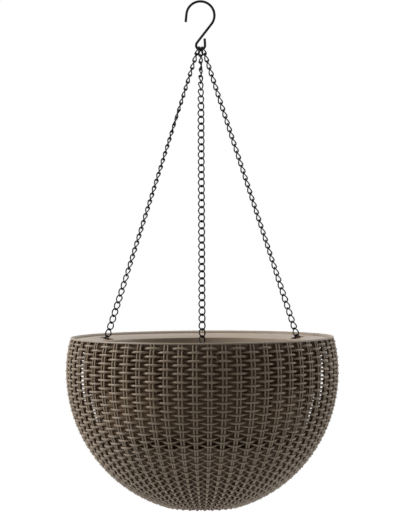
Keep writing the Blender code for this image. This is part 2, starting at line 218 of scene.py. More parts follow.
def bend_on(bm, ring, centre, angle, steps):
    """Bends the open ring of edges round a level pin at this centre, and returns the last ring."""
    verts = list({vert for edge in ring for vert in edge.verts})
    made = bmesh.ops.spin(bm, geom=verts + ring, cent=centre, axis=(0, 1, 0), angle=angle, steps=steps)
    return [item for item in made["geom_last"] if isinstance(item, bmesh.types.BMEdge)]


ring = carry_on(bm, open_end, -down_leg * UPPER_LEG)
ring = bend_on(bm, ring, UPPER_CENTRE, math.pi - UPPER_LEAN + SHANK_SWING, UPPER_STEPS)
tangent_point = Vector((math.cos(SHANK_SWING), 0, -math.sin(SHANK_SWING)))
shank = (LOWER_CENTRE - tangent_point * LOWER_BEND) - (UPPER_CENTRE + tangent_point * UPPER_BEND)
for part in range(SHANK_STEPS):
    ring = carry_on(bm, ring, shank / SHANK_STEPS)
ring = bend_on(bm, ring, LOWER_CENTRE, -(math.pi + LOWER_LEAN + SHANK_SWING), LOWER_STEPS)
ring = carry_on(bm, ring, Vector((-math.sin(LOWER_LEAN), 0, math.cos(LOWER_LEAN))) * LOWER_LEG)
caps.append(bmesh.ops.contextual_create(bm, geom=ring)["faces"][0])
bmesh.ops.remove_doubles(bm, verts=bm.verts, dist=WELD)
bm.faces.ensure_lookup_table()
rims = [edge for face in bm.faces if len(face.verts) > 4 for edge in face.edges]
bmesh.ops.bevel(bm, geom=rims, offset=CUT_ROUND, affect="EDGES", segments=2, profile=0.5, material=-1)
finished("s_hook_wire", bm, coated_wire, "hook", "coated_wire", "s_hook")

# Chains: three of 43 links, each bent from 1.8 mm steel wire, butted closed and twisted a quarter turn,
# then coated with the hook's black. A chain's top link hangs on the hook and its end link on a lug's bar.
CHAINS = {"front": math.radians(-90), "right": math.radians(30), "left": math.radians(150)}
LINK_WIRE = 0.0018
LINK_WIDTH = 0.0091
LINK_PITCH = 0.0094
LINK_TWIST = math.radians(90)
LINK_GAP = 0.0003
LINK_SECTION = LINK_WIRE / 2 * math.sqrt(math.pi)
LINK_TOUCH = 0.00184
TOP_LINK_ANGLE = math.radians(45)
TOP_LINK_LEAN = math.radians(20)
TOP_LINK_TURN = math.radians(-22)
TOP_LINK_SIDE_GAP = 0.0006
SWING_GAP = 0.0009
# How each chain turns on its way down: share of the way, and bearing that a link's lower end lies across
CHAIN_TURN_SHARES = {
    "front": [(0, -25), (0.05, -62), (0.12, -95), (0.2, -130), (0.25, -135), (0.93, -135), (1, -85)],
    "right": [(0, -18), (0.05, -12), (0.7, -12), (0.85, 12), (0.97, 15), (1, 30)],
    "left": [(0, -24), (0.15, -30), (0.27, -58), (0.75, -75), (0.86, -108), (0.93, -120), (1, -175)],
}
RUNS_PER_CHAIN = 14
LINK_STEPS = 28
LINK_SIDES = 8
BLANK_RADIUS = 0.004
RIM_DROP = UP * -0.4267
RIM_INNER = 0.1635
LUG_RADIUS = RIM_INNER - 0.0175
LUG_DEPTH = 0.0098
LUG_BAR = 0.0028


def blank_ring(name, radius, thickness, sides, steps):
    """A mesh of a level ring of round stock about the origin, to be formed into a piece."""
    bm = bmesh.new()
    upright = Matrix.Translation((radius, 0, 0)) @ Matrix.Rotation(math.pi / 2, 4, "X")
    bmesh.ops.create_circle(bm, segments=sides, radius=thickness / 2, matrix=upright)
    stock = list(bm.verts) + list(bm.edges)
    bmesh.ops.spin(bm, geom=stock, cent=(0, 0, 0), axis=UP, angle=math.tau, steps=steps, use_merge=True)
    bmesh.ops.recalc_face_normals(bm, faces=bm.faces)
    return mesh_from(name, bm)


blank_link = blank_ring("blank link", BLANK_RADIUS, LINK_WIRE, LINK_SIDES, LINK_STEPS)


def across_chain(along, angle):
    """The level direction at this bearing, squared up to a chain that runs along the given direction."""
    level = Vector((math.cos(angle), math.sin(angle), 0))
    return (level - along * level.dot(along)).normalized()


def add_link(name, top, bottom, wide, body, node):
    """Stretches the round blank to an oval between its two ends, twists it, and hangs it in place."""
    along = (bottom - top).normalized()
    half_length = (bottom - top).length / 2
    half_width = LINK_WIDTH / 2 - LINK_WIRE / 2
    full = half_length * 2 + LINK_SECTION
    across = Matrix.Rotation(-LINK_TWIST / 2, 3, -along) @ wide
    place = Matrix((along, across, along.cross(across))).transposed().to_4x4()
    place.translation = (top + bottom) / 2
    bm = bmesh.new()
    bm.from_mesh(blank_link)
    for vert in bm.verts:
        turn = math.atan2(vert.co.y, vert.co.x)
        middle = Vector((math.cos(turn), math.sin(turn), 0))
        outward = vert.co - middle * BLANK_RADIUS
        oval = Vector((middle.x * half_length, middle.y * half_width, 0)) + outward
        vert.co = Matrix.Rotation(-LINK_TWIST * oval.x / full, 3, "X") @ oval
    bmesh.ops.transform(bm, matrix=place, verts=bm.verts)
    finished(name, bm, coated_wire, body, "coated_wire", node, crease=80)


def chain_turn(side, share):
    """Bearing that a link's lower end lies across, at this share of the way down its chain."""
    turns = CHAIN_TURN_SHARES[side]
    for (above, start), (below, end) in zip(turns, turns[1:]):
        if share <= below:
            return math.radians(start + (end - start) * (share - above) / (below - above))


for side, bearing in CHAINS.items():
    lean = {"front": 0, "right": TOP_LINK_LEAN, "left": -TOP_LINK_LEAN}[side]
    spread = {"front": 0, "right": TOP_LINK_ANGLE, "left": -TOP_LINK_ANGLE}[side]
    room = LINK_GAP if side == "front" else TOP_LINK_SIDE_GAP
    seat = LOWER_BEND - HOOK_WIRE / 2 - room - LINK_SECTION / 2
    top = LOWER_CENTRE + Vector((math.sin(spread), 0, -math.cos(spread))) * seat
    knot = LINK_SECTION + LINK_GAP
    along = Vector((math.sin(lean), 0, -math.cos(lean)))
    first_end = top + along * (LINK_PITCH + knot)
    top_node = f"{side}_chain_top_link"
    add_link(f"{side}_link_01", top, first_end, across_chain(along, TOP_LINK_TURN), "top_links", top_node)
    outward = Vector((math.cos(bearing), math.sin(bearing), 0))
    bar = RIM_DROP + outward * LUG_RADIUS - UP * LUG_DEPTH
    last_end = bar + (bar - first_end).normalized() * (LUG_BAR / 2 + LINK_GAP + LINK_SECTION / 2)
    along = (last_end - first_end).normalized()
    count = round((last_end - first_end).length / LINK_PITCH)
    pitch = (last_end - first_end).length / count
    starts = [run * (count - 1) // RUNS_PER_CHAIN for run in range(RUNS_PER_CHAIN)]
    for index in range(count):
        touch = LINK_TOUCH / 2 if index else knot / 2 + SWING_GAP - LINK_GAP
        upper = first_end + along * (pitch * index - knot / 2 - touch)
        lower = first_end + along * (pitch * (index + 1) - knot / 2 + LINK_TOUCH / 2)
        wide = across_chain(along, chain_turn(side, index / (count - 1)))
        run = bisect.bisect_right(starts, index)
        node = f"{side}_chain_end_link" if index == count - 1 else f"{side}_chain_run_{run:02d}"
        add_link(f"{side}_link_{index + 2:02d}", upper, lower, wide, "planter", node)
bpy.data.meshes.remove(blank_link)

# Outer shell's weave: one injection moulding in taupe resin that looks like woven rattan. Sixty pairs of
# uprights run from rim to base, each with a face and a keel behind it, and 53 hoops pass over one pair and
# behind the next, swelling to a spindle in front. Keels, inner sides and hoops where they pass behind are
# painted dark as shade.
BOWL_HEIGHT = 0.218
BOWL_RADIUS = 0.1742
RIM_RADIUS = 0.1683
BASE_RADIUS = 0.0415
WIDEST_DEPTH = 0.0435
CURVE_DEPTH = (BOWL_HEIGHT - WIDEST_DEPTH) / math.sqrt(1 - (BASE_RADIUS / BOWL_RADIUS) ** 2)
BASE_PLATE_RADIUS = 0.039
PAIRS = 60
HOOPS = 53
FIRST_HOOP = 0.0067
HOOP_PITCH = 0.00517
PAIR_HALF_SPACING = 0.0022
PAIR_CLOSING = 2.5
UPRIGHT_INSET = 0.0005
# Half of an upright's section, from its face to its keel: place inward, half width there, and the
# level of painted light, low towards the keel where it is painted dark as shade
UPRIGHT_SECTION = [
    (0, 0, 1),
    (-0.0003, 0.0008, 1),
    (-0.001, 0.0011, 0.7),
    (-0.0018, 0.001, 0.1),
    (-0.0034, 0, 0),
]
UPRIGHT_NARROWING = 0.1
UPRIGHT_BOW = 0.0002
WEAVE_INSET = 0.0031
WEAVE_FULLNESS = 0.0012
HOOP_SWAY = 0.0025
HOOP_STEEPNESS = 1.6
HOOP_THICKNESS = 0.0025
HOOP_HEIGHT = 0.0028
HOOP_HEIGHT_BEHIND = 0.0023
# Painted light level of the hoops: lower where a hoop passes behind and on its inner side, as painted shade
HOOP_PAINTED_LIGHT = 0.5
HOOP_PAINTED_LIGHT_SPAN = 0.25
HOOP_STEPS_PER_PAIR = 8
HOOP_SIDES = 8
UPRIGHT_SIDES = 8
UPRIGHT_STEPS = 107
FRONT = -math.pi / 2
HOOPS_PER_PIECE = 18
OUTLINE_SAMPLES = 600
UPPER_SAMPLES = 100


def outline_radius(depth):
    """Outer radius of the bowl at this depth below the rim."""
    if depth < WIDEST_DEPTH:
        return BOWL_RADIUS - (BOWL_RADIUS - RIM_RADIUS) * ((WIDEST_DEPTH - depth) / WIDEST_DEPTH) ** 2
    fall = (depth - WIDEST_DEPTH) / CURVE_DEPTH
    return BOWL_RADIUS * math.sqrt(max(0, 1 - fall**2))


outline = []
for sample in range(OUTLINE_SAMPLES + 1):
    turn = math.acos(BASE_RADIUS / BOWL_RADIUS) * sample / OUTLINE_SAMPLES
    outline.append((BOWL_RADIUS * math.cos(turn), WIDEST_DEPTH + CURVE_DEPTH * math.sin(turn)))
above = [WIDEST_DEPTH * sample / UPPER_SAMPLES for sample in range(UPPER_SAMPLES)]
outline = [(outline_radius(depth), depth) for depth in above] + outline
run_lengths = [0.0]
for (r0, d0), (r1, d1) in zip(outline, outline[1:]):
    run_lengths.append(run_lengths[-1] + math.hypot(r1 - r0, d1 - d0))


def on_outline(length):
    """Radius, depth and outward normal at this length along the bowl's outline from the rim."""
    index = min(max(bisect.bisect_right(run_lengths, length) - 1, 0), len(outline) - 2)
    (r0, d0), (r1, d1) = outline[index], outline[index + 1]
    piece = run_lengths[index + 1] - run_lengths[index]
    share = (length - run_lengths[index]) / piece
    normal = Vector(((d1 - d0) / piece, (r1 - r0) / piece))
    return r0 + (r1 - r0) * share, d0 + (d1 - d0) * share, normal


def fibre_lines():
    """Fine drawn lines that run along a strand: the given vector changes across the strand only."""
    group, given, out = new_group(
        "fibre lines",
        [("Across", "NodeSocketVector", None), ("Lines per metre", "NodeSocketFloat", 1800)],
        [("Lines", "NodeSocketFloat")],
    )
    nodes, links = group.nodes, group.links
    lines = nodes.new("ShaderNodeTexNoise")
    lines.inputs["Detail"].default_value = 2
    links.new(given.outputs["Across"], lines.inputs["Vector"])
    links.new(given.outputs["Lines per metre"], lines.inputs["Scale"])
    sharper = nodes.new("ShaderNodeMapRange")
    sharper.inputs["From Min"].default_value = 0.3
    sharper.inputs["From Max"].default_value = 0.7
    links.new(lines.outputs["Fac"], sharper.inputs["Value"])
    links.new(sharper.outputs["Result"], out.inputs["Lines"])
    return group


FIBRE = fibre_lines()


def woven_resin(name, lengthwise):
    """Taupe resin with rattan-like lines, mixed towards deep brown painted shade in recesses and dives."""
    material, shader = resin_or_coat(name, (0.2, 0.152, 0.107), 0.42)
    shader.inputs["Specular IOR Level"].default_value = 0.22
    colour, bump = add_skin(
        material,
        shader,
        dark=(0.175, 0.131, 0.091),
        light=(0.225, 0.173, 0.124),
        grain=1400,
        clouds=22,
        rough=(0.34, 0.5),
        depth=0.00008,
    )
    nodes, links = material.node_tree.nodes, material.node_tree.links
    place = nodes.new("ShaderNodeTexCoord")
    squeeze = nodes.new("ShaderNodeMapping")
    squeeze.inputs["Scale"].default_value = lengthwise
    links.new(place.outputs["Object"], squeeze.inputs["Vector"])
    lines = nodes.new("ShaderNodeGroup")
    lines.node_tree = FIBRE
    links.new(squeeze.outputs["Vector"], lines.inputs["Across"])
    painted_light_level = nodes.new("ShaderNodeAttribute")
    painted_light_level.attribute_name = "painted_light_level"
    painted_light_factor = nodes.new("ShaderNodeMapRange")
    painted_light_factor.inputs["From Min"].default_value = 0.2
    painted_light_factor.inputs["From Max"].default_value = 0.75
    links.new(painted_light_level.outputs["Fac"], painted_light_factor.inputs["Value"])
    streak = nodes.new("ShaderNodeMapRange")
    streak.inputs["To Min"].default_value = 0.9
    streak.inputs["To Max"].default_value = 1.08
    links.new(lines.outputs["Lines"], streak.inputs["Value"])
    lined = nodes.new("ShaderNodeVectorMath")
    lined.operation = "SCALE"
    links.new(colour.outputs["Result"], lined.inputs[0])
    links.new(streak.outputs["Result"], lined.inputs["Scale"])
    # Painted shade: where the painted light level is low, the colour is mixed towards this deep brown
    painted_shade_mix = nodes.new("ShaderNodeMix")
    painted_shade_mix.data_type = "RGBA"
    painted_shade_mix.inputs["A"].default_value = (0.12, 0.074, 0.042, 1)
    links.new(painted_light_factor.outputs["Result"], painted_shade_mix.inputs["Factor"])
    links.new(lined.outputs["Vector"], painted_shade_mix.inputs["B"])
    links.new(painted_shade_mix.outputs["Result"], shader.inputs["Base Color"])
    ridges = nodes.new("ShaderNodeBump")
    ridges.inputs["Strength"].default_value = 0.5
    ridges.inputs["Distance"].default_value = 0.00012
    links.new(lines.outputs["Lines"], ridges.inputs["Height"])
    links.new(bump.outputs["Normal"], ridges.inputs["Normal"])
    links.new(ridges.outputs["Normal"], shader.inputs["Normal"])
    return material


hoop_resin = woven_resin("woven resin, hoops", (0.04, 0.04, 1))
upright_resin = woven_resin("woven resin, uprights", (1, 1, 0.04))

HOOP_BLANK_RADIUS = 0.016
HOOP_STEPS = PAIRS * HOOP_STEPS_PER_PAIR
blank_hoop = blank_ring("blank hoop", HOOP_BLANK_RADIUS, BLANK_RADIUS * 2, HOOP_SIDES, HOOP_STEPS)
first_pair = FRONT + math.pi / PAIRS
section_places = []
for vert in blank_hoop.vertices:
    turn = math.atan2(vert.co.y, vert.co.x)
    out_share = (math.hypot(vert.co.x, vert.co.y) - HOOP_BLANK_RADIUS) / BLANK_RADIUS
    up_share = vert.co.z / BLANK_RADIUS
    wave = math.cos((turn - first_pair) * PAIRS / 2)
    sway = math.tanh(HOOP_STEEPNESS * wave) / math.tanh(HOOP_STEEPNESS)
    section_places.append((math.cos(turn), math.sin(turn), sway, out_share, up_share))

for piece in range(math.ceil(HOOPS / HOOPS_PER_PIECE)):
    bm = bmesh.new()
    painted_light_level = bm.verts.layers.float.new("painted_light_level")
    for hoop in range(piece * HOOPS_PER_PIECE, min((piece + 1) * HOOPS_PER_PIECE, HOOPS)):
        radius, depth, normal = on_outline(FIRST_HOOP + HOOP_PITCH * hoop)
        inset = WEAVE_INSET - WEAVE_FULLNESS * depth / BOWL_HEIGHT
        start = len(bm.verts)
        bm.from_mesh(blank_hoop)
        bm.verts.ensure_lookup_table()
        for vert, (x, y, sway, out_share, up_share) in zip(bm.verts[start:], section_places):
            sway *= -1 if hoop % 2 else 1
            swell = min(1, max(0, sway + 1))
            half_height = (HOOP_HEIGHT_BEHIND + (HOOP_HEIGHT - HOOP_HEIGHT_BEHIND) * swell) / 2
            lift = HOOP_SWAY * sway - inset + out_share * HOOP_THICKNESS / 2
            rise = up_share * half_height
            out = radius + normal.x * lift - normal.y * rise
            high = -depth + normal.y * lift + normal.x * rise
            vert.co = Vector((x * out, y * out, high)) + RIM_DROP
            # Painted shade per point: more where the hoop lies behind and on its inner side, less in front
            vert[painted_light_level] = HOOP_PAINTED_LIGHT + HOOP_PAINTED_LIGHT_SPAN * sway + HOOP_PAINTED_LIGHT_SPAN * out_share
    name = f"woven_hoops_{piece + 1}"
    finished(name, bm, hoop_resin, "planter", "moulded_resin", "outer_shell", crease=80)
bpy.data.meshes.remove(blank_hoop)

straight = bmesh.new()
bmesh.ops.create_cone(straight, cap_ends=True, segments=UPRIGHT_SIDES, radius1=1, radius2=1, depth=2)
long_edges = [edge for edge in straight.edges if abs(edge.verts[0].co.z - edge.verts[1].co.z) > 1]
bmesh.ops.subdivide_edges(straight, edges=long_edges, cuts=UPRIGHT_STEPS)
blank_upright = mesh_from("blank upright", straight)
UPRIGHT_START = 0.0015
UPRIGHT_STOP = 0.002
UPRIGHT_END = run_lengths[-1] - UPRIGHT_STOP

for side, hand in (("left", -1), ("right", 1)):
    bm = bmesh.new()
    painted_light_level = bm.verts.layers.float.new("painted_light_level")
    for pair in range(PAIRS):
        start = len(bm.verts)
        bm.from_mesh(blank_upright)
        bm.verts.ensure_lookup_table()
        bearing = first_pair + math.tau * pair / PAIRS
        for vert in bm.verts[start:]:
            length = UPRIGHT_START + (UPRIGHT_END - UPRIGHT_START) * (1 - vert.co.z) / 2
            radius, depth, normal = on_outline(length)
            narrow = radius / BOWL_RADIUS
            bow = -UPRIGHT_BOW * math.cos(math.pi * ((length - FIRST_HOOP) / HOOP_PITCH + pair))
            turn = math.atan2(vert.co.y, vert.co.x)
            # The section's third column is the painted light level, giving painted shade towards the keel
            inward, half_width, vert[painted_light_level] = UPRIGHT_SECTION[round(abs(turn) / math.tau * UPRIGHT_SIDES)]
            lift = bow - UPRIGHT_INSET + WEAVE_FULLNESS * depth / BOWL_HEIGHT + inward
            out = radius + normal.x * lift
            high = -depth + normal.y * lift
            spacing = PAIR_HALF_SPACING * narrow**PAIR_CLOSING
            sideways = hand * spacing + math.copysign(half_width, vert.co.y) * narrow**UPRIGHT_NARROWING
            vert.co = Vector((out, sideways, high))
        about_axis = Matrix.Rotation(bearing, 3, "Z")
        bmesh.ops.rotate(bm, cent=(0, 0, 0), matrix=about_axis, verts=bm.verts[start:])
    bmesh.ops.translate(bm, verts=bm.verts, vec=RIM_DROP)
    finished(f"{side}_uprights", bm, upright_resin, "planter", "moulded_resin", "outer_shell", crease=80)
bpy.data.meshes.remove(blank_upright)

# Rim, ledge, base and lugs of the shell: parts of the same moulding. The rim slopes in to the flange, a web
# behind the weave carries the ledge that the liner sits on, and the base is a flat plate that curves up
# inside, behind the lowest rows. Each lug holds a bar for its chain's end link.
ROUND_STEPS = 180
BASE_STEPS = 96
smooth_resin, smooth_shader = resin_or_coat("moulded resin, plain", (0.2, 0.157, 0.117), 0.45)
smooth_shader.inputs["Specular IOR Level"].default_value = 0.4
add_skin(
    smooth_resin,
    smooth_shader,
    dark=(0.18, 0.14, 0.103),
    light=(0.225, 0.178, 0.134),
    grain=1700,
    clouds=18,
    rough=(0.38, 0.58),
    depth=0.00005,
)


def turned(outline_points, steps=ROUND_STEPS):
    """A bmesh spun round the planter's axis from a closed outline of (radius, depth below the rim)."""
    bm = bmesh.new()
    points = [bm.verts.new((radius, 0, -depth)) for radius, depth in outline_points]
    edges = [bm.edges.new(pair) for pair in zip(points, points[1:])]
    if outline_points[0][0] > 0:
        edges.append(bm.edges.new((points[-1], points[0])))
    bmesh.ops.spin(
        bm, geom=points + edges, cent=(0, 0, 0), axis=UP, angle=math.tau, steps=steps, use_merge=True
    )
    bmesh.ops.remove_doubles(bm, verts=bm.verts, dist=WELD)
    bmesh.ops.recalc_face_normals(bm, faces=bm.faces)
    bmesh.ops.translate(bm, verts=bm.verts, vec=RIM_DROP)
    return bm


def round_edges(bm, offset, segments, sharper_than=50):
    """Bevels every edge whose faces meet at more than this angle, in degrees."""
    bm.normal_update()
    least = math.radians(sharper_than)
    sharp = [edge for edge in bm.edges if edge.is_manifold and edge.calc_face_angle() > least]
    bmesh.ops.bevel(
        bm, geom=sharp, offset=offset, affect="EDGES", segments=segments, profile=0.5, material=-1
    )


def draw_out(bm, face, step):
    """Draws a flat face out by this step, and returns the vertices at the far end."""
    drawn = bmesh.ops.extrude_face_region(bm, geom=[face])["geom"]
    drawn = [item for item in drawn if isinstance(item, bmesh.types.BMVert)]
    bmesh.ops.translate(bm, verts=drawn, vec=step)
    return drawn


RIM_THICKNESS = 0.0022
RIM_EDGE_DROP = 0.0008
RIM_EDGE_WIDTH = 0.0009
RIM_SLOPE_WIDTH = 0.0035
RIM_SLOPE_DROP = 0.0026
RIM_SKIRT = 0.0008
LEDGE_DEPTH = 0.0055
LEDGE_INNER = RIM_INNER - 0.0055
LEDGE_TOP = LEDGE_DEPTH - 0.0002
LEDGE_THICKNESS = 0.002
# Painted light level of the ledge and web below: low, for painted shade
LEDGE_PAINTED_LIGHT = 0.35
WEB_INNER = RIM_INNER + 0.0004
WEB_OUTER = RIM_INNER + 0.0012
WEB_TOP = RIM_THICKNESS - 0.0004
WEB_BOTTOM = 0.0108
APRON_INNER = RIM_INNER + 0.0002
MOULDED_ROUND = 0.0003
bm = turned(
    [
        (RIM_RADIUS, RIM_EDGE_DROP),
        (RIM_RADIUS - RIM_EDGE_WIDTH, 0),
        (RIM_INNER + RIM_SLOPE_WIDTH, 0),
        (RIM_INNER, RIM_SLOPE_DROP),
        (RIM_INNER, LEDGE_DEPTH),
        (RIM_INNER + RIM_SKIRT, LEDGE_DEPTH),
        (RIM_INNER + RIM_SKIRT, RIM_THICKNESS),
        (RIM_RADIUS, RIM_THICKNESS),
    ]
)
round_edges(bm, MOULDED_ROUND, 2)
finished("shell_rim", bm, smooth_resin, "planter", "moulded_resin", "outer_shell", crease=60)
bm = turned(
    [
        (WEB_INNER, WEB_TOP),
        (WEB_INNER, LEDGE_TOP),
        (LEDGE_INNER, LEDGE_TOP),
        (LEDGE_INNER, LEDGE_DEPTH + LEDGE_THICKNESS),
        (APRON_INNER, LEDGE_DEPTH + LEDGE_THICKNESS),
        (APRON_INNER, WEB_BOTTOM),
        (WEB_OUTER, WEB_BOTTOM),
        (WEB_OUTER, WEB_TOP),
    ]
)
round_edges(bm, MOULDED_ROUND, 2)
ledge = finished("shell_ledge", bm, upright_resin, "planter", "moulded_resin", "outer_shell", crease=60)
# The ledge and its web are painted dark as shade behind the rim, by a low painted light level.
shade = ledge.data.attributes.new("painted_light_level", "FLOAT", "POINT")
for item in shade.data:
    item.value = LEDGE_PAINTED_LIGHT

BASE_THICKNESS = 0.005
# Painted light levels of the base: full on the plate underneath; low on the dish inside, for painted shade
PLATE_PAINTED_LIGHT = 0.8
PLATE_MARGIN = 0.001
DISH_REACH = 0.14
DISH_STEPS = 24
DISH_INSET = 0.006
DISH_THICKNESS = 0.0015
DISH_PAINTED_LIGHT = 0.36
DISH_PAINTED_LIGHT_FALL = 3
DISH_PAINTED_LIGHT_LEAST = 0.15
under_dish, over_dish = [], []
for step in range(DISH_STEPS + 1):
    radius, depth, normal = on_outline(run_lengths[-1] - DISH_REACH * step / DISH_STEPS)
    for points, inset in ((under_dish, DISH_INSET), (over_dish, DISH_INSET + DISH_THICKNESS)):
        points.append((radius - normal.x * inset, depth + normal.y * inset))
bm = turned(
    [
        (0, BOWL_HEIGHT),
        (BASE_PLATE_RADIUS, BOWL_HEIGHT),
        *under_dish[1:],
        *reversed(over_dish),
        (0, BOWL_HEIGHT - BASE_THICKNESS),
    ],
    steps=BASE_STEPS,
)
base = finished("shell_base", bm, upright_resin, "planter", "moulded_resin", "outer_shell", crease=60)
# Painted shade on the dish inside the bowl, darker higher up; the plate underneath keeps its own colour.
shade = base.data.attributes.new("painted_light_level", "FLOAT", "POINT")
for vert, item in zip(base.data.vertices, shade.data):
    height = vert.co.z - RIM_DROP.z + BOWL_HEIGHT
    inside = max(DISH_PAINTED_LIGHT_LEAST, DISH_PAINTED_LIGHT - DISH_PAINTED_LIGHT_FALL * height)
    item.value = PLATE_PAINTED_LIGHT if height < PLATE_MARGIN else inside

LUG_OPENING = 0.0094
LUG_CHEEK = 0.002
LUG_NOSE = 0.003
LUG_FOOT = 0.0085
LUG_ROOT = RIM_INNER + 0.001
LUG_BAR_SIDES = 16
NOSE_STEPS = 8
for side, bearing in CHAINS.items():
    bm = bmesh.new()
    nose = [math.pi / 2 + math.pi * step / NOSE_STEPS for step in range(NOSE_STEPS + 1)]
    profile = [(LUG_RADIUS + LUG_NOSE * math.cos(a), -LUG_DEPTH + LUG_NOSE * math.sin(a)) for a in nose]
    profile = [(LUG_ROOT, LUG_NOSE - LUG_DEPTH), *profile, (LUG_ROOT, -LUG_DEPTH - LUG_FOOT)]
    for hand in (-1, 1):
        inner = hand * LUG_OPENING / 2
        cheek = bm.faces.new([bm.verts.new((x, inner, z)) for x, z in profile])
        draw_out(bm, cheek, (0, hand * LUG_CHEEK, 0))
    bmesh.ops.recalc_face_normals(bm, faces=bm.faces)
    round_edges(bm, MOULDED_ROUND, 2)
    bmesh.ops.create_cone(
        bm,
        cap_ends=True,
        segments=LUG_BAR_SIDES,
        radius1=LUG_BAR / 2,
        radius2=LUG_BAR / 2,
        depth=LUG_OPENING + LUG_CHEEK,
        matrix=Matrix.Translation((LUG_RADIUS, 0, -LUG_DEPTH)) @ Matrix.Rotation(math.pi / 2, 4, "X"),
    )
    bmesh.ops.rotate(bm, cent=(0, 0, 0), matrix=Matrix.Rotation(bearing, 3, "Z"), verts=bm.verts)
    bmesh.ops.translate(bm, verts=bm.verts, vec=RIM_DROP)
    finished(f"{side}_lug", bm, smooth_resin, "planter", "moulded_resin", "outer_shell", crease=40)

# Liner: a plain pot moulded in the same resin, smoother and satin. Its wide flange drops on the shell's
# ledge and falls away to the mouth, with a slot for each chain. Its wall follows the bowl down to a flat
# floor with a drain hole. Its outside wall and underside have no coat and are painted darker as shade.
LINER_WALL = 0.002
SEAT_GAP = 0.0003
RIM_GAP = 0.0006
SEAT_WIDTH = 0.0054
FLANGE_WIDTH = 0.0289
FLANGE_DEPTH = LEDGE_DEPTH - SEAT_GAP - LINER_WALL
FLANGE_RADIUS = RIM_INNER - RIM_GAP
FLANGE_SEAT = FLANGE_RADIUS - SEAT_WIDTH
FLANGE_FALL = 0.0047
LINER_RADIUS = FLANGE_RADIUS - FLANGE_WIDTH
LIP_ROUND = 0.0008
LIP_STEPS = 5
LINER_ABOVE_BASE = 0.04
LINER_DEPTH = BOWL_HEIGHT - LINER_ABOVE_BASE
LINER_SHOULDER = 0.095
LINER_CLEARANCE = 0.031
LINER_WALL_STEPS = 16
FLOOR_ROUND = 0.012
DRAIN_RADIUS = 0.008
FLANGE_STEPS = 12
SLOT_WIDTH = 0.016
SLOT_ROUND = 0.004
SLOT_INWARD = 0.009
SLOT_OUTWARD = 0.006
SLOT_INNER = LUG_RADIUS - SLOT_INWARD + SLOT_ROUND
SLOT_OUTER = LUG_RADIUS + SLOT_OUTWARD - SLOT_ROUND
SLOT_CUT = 0.014
CORNER_STEPS = 8
COAT_ON_TOP_AND_INSIDE = 0.4
OUTWARD_LEAST = 0.2
DOWNWARD_LEAST = 0.3
FLANGE_EDGE = 0.001

liner_resin, liner_shader = resin_or_coat("smooth taupe resin", (0.25, 0.198, 0.15), 0.42)
liner_shader.inputs["Specular IOR Level"].default_value = 0.1
liner_shader.inputs["Coat Roughness"].default_value = 0.4
colour, bump = add_skin(
    liner_resin,
    liner_shader,
    dark=(0.2, 0.155, 0.113),
    light=(0.245, 0.192, 0.143),
    grain=1900,
    clouds=14,
    rough=(0.34, 0.52),
    depth=0.00004,
)
nodes, links = liner_resin.node_tree.nodes, liner_resin.node_tree.links
coat_or_painted_shade = nodes.new("ShaderNodeAttribute")
coat_or_painted_shade.attribute_name = "coat_not_painted_shade"
coat = nodes.new("ShaderNodeMath")
coat.operation = "MULTIPLY"
coat.inputs[1].default_value = COAT_ON_TOP_AND_INSIDE
links.new(coat_or_painted_shade.outputs["Fac"], coat.inputs[0])
links.new(coat.outputs[0], liner_shader.inputs["Coat Weight"])
# Painted shade: the outside wall and underside, behind the weave, are mixed to this darker brown
painted_shade_mix = nodes.new("ShaderNodeMix")
painted_shade_mix.data_type = "RGBA"
painted_shade_mix.inputs["A"].default_value = (0.18, 0.112, 0.063, 1)
links.new(coat_or_painted_shade.outputs["Fac"], painted_shade_mix.inputs["Factor"])
links.new(colour.outputs["Result"], painted_shade_mix.inputs["B"])
links.new(painted_shade_mix.outputs["Result"], liner_shader.inputs["Base Color"])

run = FLANGE_SEAT - LINER_RADIUS - LIP_ROUND
shares = [step / FLANGE_STEPS for step in range(FLANGE_STEPS + 1)]
slope = [(FLANGE_SEAT - run * t, FLANGE_DEPTH + FLANGE_FALL * (t + t**2) / 2) for t in shares]
lip = FLANGE_DEPTH + FLANGE_FALL
quarter = [math.pi / 2 * step / LIP_STEPS for step in range(1, LIP_STEPS + 1)]
lip_curve = [
    (LINER_RADIUS + LIP_ROUND * (1 - math.sin(a)), lip + LIP_ROUND * (1 - math.cos(a))) for a in quarter
]
floor = LINER_DEPTH - LINER_WALL
wall_shares = [step / LINER_WALL_STEPS for step in range(LINER_WALL_STEPS + 1)]
wall_depths = [LINER_SHOULDER + (floor - FLOOR_ROUND - LINER_SHOULDER) * share for share in wall_shares]
wall = [(outline_radius(depth) - LINER_CLEARANCE, depth) for depth in wall_depths]
floor_edge = wall[-1][0] - FLOOR_ROUND
bm = turned(
    [
        (FLANGE_RADIUS, FLANGE_DEPTH),
        *slope,
        *lip_curve,
        *[(radius - LINER_WALL, depth) for radius, depth in wall],
        (floor_edge - LINER_WALL, floor),
        (DRAIN_RADIUS, floor),
        (DRAIN_RADIUS, LINER_DEPTH),
        (floor_edge, LINER_DEPTH),
        *reversed(wall),
        (LINER_RADIUS + LINER_WALL, lip + LINER_WALL + LIP_ROUND),
        *[(radius, depth + LINER_WALL) for radius, depth in reversed(slope)],
        (FLANGE_RADIUS, FLANGE_DEPTH + LINER_WALL),
    ]
)
liner = finished("liner_pot", bm, liner_resin, "liner", "liner_resin", "liner", crease=40)
